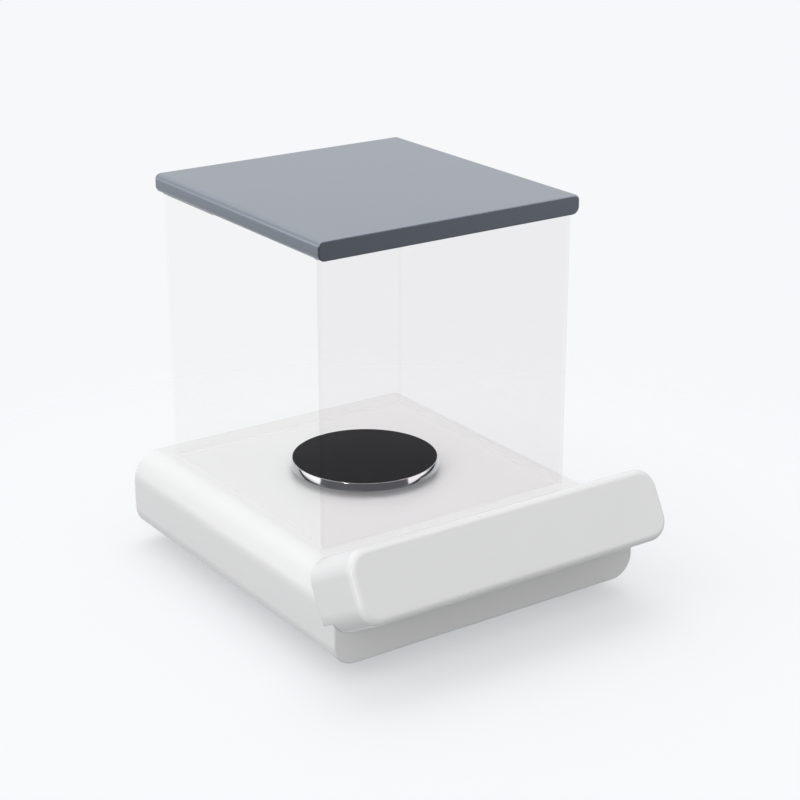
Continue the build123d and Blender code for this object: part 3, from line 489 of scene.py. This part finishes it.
def base_hollow():
    """The room inside the base, with walls left round the panel's seat and the groove."""
    step = Vector((BASE_WALL, BASE_WALL, BASE_WALL))
    hollow = finished("hollow", rounded_bar(
        base_low + step, base_high - step, BASE_TOP_CORNER - BASE_WALL, BASE_LOWER_CORNER - BASE_WALL, 0,
        HIDDEN_SEGMENTS,
    ))
    carve(hollow, panel_form(
        -SEAT_GAP - BASE_WALL, -PANEL_DEPTH, seat_depth + BASE_WALL, 0, 0, HIDDEN_SEGMENTS
    ))
    outside = GROOVE_GAP + GROOVE_WALL
    carve(hollow, chamber_ring(
        outside, GLASS + 2 * outside, groove_z - GROOVE_WALL, base_high.z + OVERRUN
    ))
    return as_form(hollow)


def plate_opening():
    """The opening in the base's underside for the bottom plate."""
    low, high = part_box("bottom_plate")
    return column(low, high, BOTTOM_PLATE_GAP, base_low.z - OVERRUN, base_low.z + BASE_WALL)


def pan_hole():
    """The round hole in the base's top, under the pan."""
    low_z = base_high.z - 2 * BASE_WALL
    high_z = base_high.z + OVERRUN
    profile = [(0, low_z), (PAN_HOLE_RADIUS, low_z), (PAN_HOLE_RADIUS, high_z), (0, high_z)]
    return turned(profile, pan_centre, HOLE_STEPS)


def socket_opening(node):
    """The opening in the base's back wall for a socket."""
    low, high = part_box(node)
    return cuboid(
        (low.x - SOCKET_GAP, base_high.y - 2 * BASE_WALL, low.z - SOCKET_GAP),
        (high.x + SOCKET_GAP, base_high.y + OVERRUN, high.z + SOCKET_GAP),
    )


def make_base():
    base = finished("base_shell", rounded_bar(
        base_low, base_high, BASE_TOP_CORNER, BASE_LOWER_CORNER, BASE_EDGE, BASE_SEGMENTS
    ))
    carve(base, base_hollow())
    carve(base, panel_form(-SEAT_GAP, -PANEL_DEPTH, seat_depth, 0, 0))
    carve(base, groove_form())
    carve(base, plate_opening())
    carve(base, pan_hole())
    for node in ("dc_inlet", "data_socket"):
        carve(base, socket_opening(node))
    return placed(evened(crisp(base)), "root", "white_plastic", "base_cover")


# Control panel


def panel_form(inset, front, back, front_round, back_round, segments=PANEL_SEGMENTS):
    """The control panel's slab between two distances behind its face, leaned back into place."""
    half_x = panel_width / 2 - inset
    half_y = PANEL_HEIGHT / 2 - inset
    form = cuboid((-half_x, -half_y, -back), (half_x, half_y, -front))
    soften(form, [e for e in form.edges if along(e, Z)], PANEL_CORNER - inset, segments)
    if front_round > 0:
        soften(form, flat_loop(form, Z, -front), front_round, PANEL_FRONT_SEGMENTS)
    if back_round > 0:
        soften(form, flat_loop(form, Z, -back), back_round, PANEL_BACK_SEGMENTS)
    place = Matrix.Translation(panel_face) @ Matrix.Rotation(pi / 2 - PANEL_TILT, 4, "X")
    bmesh.ops.transform(form, matrix=place, verts=form.verts)
    return form


def make_panel():
    panel = finished("panel_shell", panel_form(0, 0, PANEL_DEPTH, PANEL_FRONT_ROUND, PANEL_BACK_ROUND))
    carve(panel, panel_form(
        PANEL_WALL, PANEL_WALL, PANEL_DEPTH + OVERRUN, PANEL_FRONT_ROUND - PANEL_WALL, 0, HIDDEN_SEGMENTS
    ))
    return placed(evened(crisp(panel)), "root", "white_plastic", "panel_housing")


# Glass chamber


def make_glass():
    """Four panes on a seal that fills the groove and lies almost flush with the top of the base."""
    seal_z = base_high.z - SEAL_DEPTH
    seal = finished("seal_ring", chamber_ring(GROOVE_GAP, GLASS + 2 * GROOVE_GAP, groove_z, base_high.z))
    carve(seal, chamber_ring(0, GLASS, seal_z, base_high.z + OVERRUN))
    placed(crisp(seal), "root", "clear_silicone", "shield_gasket")
    for side in ("front", "back", "left", "right"):
        low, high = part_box(f"glass_{side}")
        form = cuboid((low.x, low.y, seal_z), high)
        soften(form, form.edges, GLASS_EDGE, GLASS_SEGMENTS)
        pane = finished(f"pane_{side}", form, GLASS_SHARP)
        # The front pane takes the glass that is darkened as painted shade
        placed(pane, "root", "clear_glass", f"glass_{side}", front_glass_painted_shade if side == "front" else None)


# Lid


def make_lid():
    low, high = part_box("lid_cover")
    plate_low, plate_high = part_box("lid_plate")
    lid = finished("lid_shell", rounded_bar(
        low, high, LID_TOP_CORNER, LID_LOWER_CORNER, LID_EDGE, LID_SEGMENTS
    ))
    carve(lid, column(plate_low, plate_high, LID_PLATE_GAP, low.z - OVERRUN, high.z - LID_ROOF))
    return placed(evened(crisp(lid)), "lid", "lid_metal", "lid_cover")


# Weighing pan


def rim_curve(foot_r, foot_z, top_z):
    """The rim's outer side, which leans in a little and is slightly crowned."""
    low = RIM_LEAN - RIM_CROWN
    high = RIM_LEAN + RIM_CROWN
    size = (top_z - foot_z) / (sin(radians(high)) - sin(radians(low)))
    centre_r = foot_r - size * cos(radians(low))
    centre_z = foot_z - size * sin(radians(low))
    return arc(centre_r, centre_z, size, low, high, RIM_STEPS)


def make_pan():
    """The steel dish and the black top that lies in it."""
    inlay_low, inlay_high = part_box("pan_inlay")
    foot_r = pan_high.x - pan_centre.x + RIM_FLARE
    foot_z = pan_low.z + RIM_EDGE
    top_z = pan_high.z - RIM_EDGE
    curve = rim_curve(foot_r, foot_z, top_z)
    top_r = curve[-1][0] - RIM_EDGE
    wall_r = top_r - RIM_WALL
    lip_r = top_r - RIM_LIP
    under_z = inlay_low.z - PAN_SKIN
    profile = [(0, under_z), (wall_r, under_z), (wall_r, foot_z)]
    profile += arc(foot_r - RIM_EDGE, foot_z, RIM_EDGE, -90, 0, EDGE_STEPS)
    profile += curve
    profile += arc(top_r, top_z, RIM_EDGE, RIM_EDGE_START, 90, EDGE_STEPS)
    profile += [(lip_r, pan_high.z), (lip_r, inlay_low.z), (0, inlay_low.z)]
    dish = finished("pan_dish", turned(profile, pan_centre, PAN_STEPS), PAN_SHARP)
    placed(dish, "pan", "polished_steel", "pan")

    inlay_r = lip_r - INLAY_GAP
    inlay_z = inlay_low.z + INLAY_GAP
    profile = [(0, inlay_z), (inlay_r, inlay_z)]
    profile += arc(inlay_r - INLAY_EDGE, inlay_high.z - INLAY_EDGE, INLAY_EDGE, 0, 90, EDGE_STEPS)
    profile += [(0, inlay_high.z)]
    inlay = finished("pan_top", turned(profile, pan_centre, PAN_STEPS), PAN_SHARP)
    placed(inlay, "pan", "black_coat", "pan_inlay")


base = make_base()
panel = make_panel()
make_glass()
lid = make_lid()
make_pan()

# The polished rim mirrors the studio, and neither the white mouldings nor the pieces inside
for piece in (base, panel, *nodes.values()):
    piece.visible_glossy = False
# The lid keeps no light from the chamber, which is evenly lit
for piece in (lid, nodes["lid_plate"], nodes["lid_screws"], nodes["lid_stops"]):
    piece.visible_shadow = False
    piece.visible_diffuse = False

# Stage: a pale floor that fades into a pale surround between two distances from its middle, in metres
SURROUND = (0.922, 0.939, 0.956)
FLOOR_REACH = 1.2
FADE_START = 0.30
FADE_END = 0.46

# A share of the floor's look glows by itself, and the light that it throws on the object is that of a
# greyer floor
SELF_LIT = 0.45
FLOOR_BOUNCE = 0.36
FLOOR_ROUGHNESS = 0.9

# The level that a white face gets from the sky alone
AMBIENT = 0.67

# Each lamp: where it stands from the object, the level that a white face turned to it gets, its spread
# in degrees, and whether it lights faces or only shows in their gloss
LAMPS = {
    "overhead": ((0.14, 0.30, 0.94), 0.19, 50.0, True),
    "left": ((-0.91, -0.26, 0.33), 0.45, 100.0, True),
    "left key": ((-0.83, -0.40, 0.32), 0.18, 10.0, False),
}
# The level that the open floor gets from the sky and the lamps
floor_light = AMBIENT + sum(
    level * Vector(towards).normalized().z for towards, level, _, lights in LAMPS.values() if lights
)


def make_floor():
    """A floor with the object's shadow, which nothing mirrors and which is clear from below."""
    form = bmesh.new()
    bmesh.ops.create_grid(form, x_segments=1, y_segments=1, size=FLOOR_REACH)
    floor = finished("floor", form)
    material, shader = new_material("pale floor", SURROUND, FLOOR_ROUGHNESS, specular=0.0)
    shader.inputs["Emission Color"].default_value = (*SURROUND, 1.0)
    tree = material.node_tree
    distance = tree.nodes.new("ShaderNodeVectorMath")
    distance.operation = "LENGTH"
    wire(tree, tree.nodes.new("ShaderNodeTexCoord").outputs["Object"], distance.inputs[0])
    fade = rising(tree, distance.outputs["Value"], FADE_START, FADE_END)
    path = tree.nodes.new("ShaderNodeLightPath").outputs
    seen = any_of(tree, path["Is Camera Ray"], path["Is Glossy Ray"], path["Is Transmission Ray"])
    paint = tree.nodes.new("ShaderNodeMix")
    paint.data_type = "RGBA"
    wire(tree, seen, paint.inputs["Factor"])
    paint.inputs["A"].default_value = (FLOOR_BOUNCE, FLOOR_BOUNCE, FLOOR_BOUNCE, 1.0)
    paint.inputs["B"].default_value = (*[(1 - SELF_LIT) * c / floor_light for c in SURROUND], 1.0)
    wire(tree, paint.outputs["Result"], shader.inputs["Base Color"])
    wire(tree, maths(tree, "MULTIPLY", seen, SELF_LIT), shader.inputs["Emission Strength"])
    clear = tree.nodes.new("ShaderNodeBsdfTransparent")
    from_below = tree.nodes.new("ShaderNodeNewGeometry").outputs["Backfacing"]
    gone = maths(tree, "MULTIPLY", any_of(tree, fade, from_below), seen)
    shown = mixed(tree, gone, shader.outputs["BSDF"], clear.outputs["BSDF"])
    tree.links.new(shown, tree.nodes["Material Output"].inputs["Surface"])
    floor.data.materials.append(material)
    floor.visible_glossy = False


# The studio that metal and gloss show: dark in front and below, pale above and behind, with two soft
# boxes at the sides and a brighter ceiling. An edge or a foot has the two cosines between which it fades
STUDIO_LEAN = (0.50, 0.72, 0.48)
STUDIO_DARK = (0.182, 0.189, 0.203)
STUDIO_DARK_END = 0.24
STUDIO_PALE_START = 0.88
BOX_AXIS = (0.823, -0.568, 0.0)
BOX_EDGE = (0.92, 0.945)
BOX_FOOT = (-0.16, -0.06)
BOX_LEVEL = 1.8
CEILING_EDGE = (0.42, 0.62)
CEILING_LEVEL = 1.3
UP = (0.0, 0.0, 1.0)
WHITE = (1.0, 1.0, 1.0, 1.0)


def make_world():
    """A soft sky for the light, the studio for gloss, and the surround that camera and glass see."""
    world = bpy.data.worlds.new("studio")
    bpy.context.scene.world = world
    world.use_nodes = True
    tree = world.node_tree
    look = tree.nodes.new("ShaderNodeTexCoord").outputs["Generated"]

    def toward(axis):
        """How far the line of sight points along an axis, from -1 to 1."""
        lean = tree.nodes.new("ShaderNodeVectorMath")
        lean.operation = "DOT_PRODUCT"
        wire(tree, look, lean.inputs[0])
        lean.inputs[1].default_value = axis
        return lean.outputs["Value"]

    def backdrop(colour, strength=1.0):
        ground = tree.nodes.new("ShaderNodeBackground")
        wire(tree, colour, ground.inputs["Color"])
        ground.inputs["Strength"].default_value = strength
        return ground.outputs["Background"]

    ramp = tree.nodes.new("ShaderNodeValToRGB")
    ramp.color_ramp.interpolation = "EASE"
    dark, pale = ramp.color_ramp.elements
    dark.position = STUDIO_DARK_END
    dark.color = (*STUDIO_DARK, 1.0)
    pale.position = STUDIO_PALE_START
    pale.color = (*SURROUND, 1.0)
    wire(tree, maths(tree, "MULTIPLY_ADD", toward(STUDIO_LEAN), 0.5, 0.5), ramp.inputs["Fac"])
    height = toward(UP)
    across = rising(tree, maths(tree, "ABSOLUTE", toward(BOX_AXIS)), *BOX_EDGE)
    box = maths(tree, "MULTIPLY", across, rising(tree, height, *BOX_FOOT))
    studio = mixed(tree, box, backdrop(ramp.outputs["Color"]), backdrop(WHITE, BOX_LEVEL))
    studio = mixed(tree, rising(tree, height, *CEILING_EDGE), studio, backdrop(WHITE, CEILING_LEVEL))

    path = tree.nodes.new("ShaderNodeLightPath").outputs
    lit = mixed(tree, path["Is Glossy Ray"], backdrop(WHITE, AMBIENT), studio)
    straight = any_of(tree, path["Is Camera Ray"], path["Is Transmission Ray"])
    shown = mixed(tree, straight, lit, backdrop((*SURROUND, 1.0)))
    tree.links.new(shown, tree.nodes["World Output"].inputs["Surface"])


def make_lamp(name, towards, level, spread, lights):
    """A distant lamp. An energy of pi gives a white face turned to it a level of one."""
    light = bpy.data.lights.new(name, "SUN")
    light.energy = level * pi
    light.angle = radians(spread)
    lamp = bpy.data.objects.new(name, light)
    lamp.rotation_euler = Vector(towards).to_track_quat("Z", "Y").to_euler()
    lamp.visible_diffuse = lights
    lamp.visible_glossy = not lights
    lamp.visible_transmission = False
    bpy.context.scene.collection.objects.link(lamp)


# Camera: its place from the middle of the base at floor level and the way it looks, both fitted to the
# outlines of base, glass, lid and pan, and its lens and sensor in millimetres
CAMERA_PLACE = (-0.61161, -0.911434, 0.51801)
CAMERA_AIM = (0.53244, 0.77125, -0.34882)
CAMERA_LENS = 86.9375
CAMERA_SENSOR = 36.0
CAMERA_CLIP = 0.01


def make_camera():
    camera = bpy.data.objects.new("camera", bpy.data.cameras.new("camera"))
    bpy.context.scene.collection.objects.link(camera)
    bpy.context.scene.camera = camera
    camera.location = Vector((base_centre.x, base_centre.y, 0)) + Vector(CAMERA_PLACE)
    camera.rotation_euler = Vector(CAMERA_AIM).to_track_quat("-Z", "Y").to_euler()
    camera.data.lens = CAMERA_LENS
    camera.data.sensor_width = CAMERA_SENSOR
    camera.data.clip_start = CAMERA_CLIP


make_floor()
make_world()
for name, lamp in LAMPS.items():
    make_lamp(name, *lamp)
make_camera()

view = bpy.context.scene.view_settings
view.view_transform = "Standard"
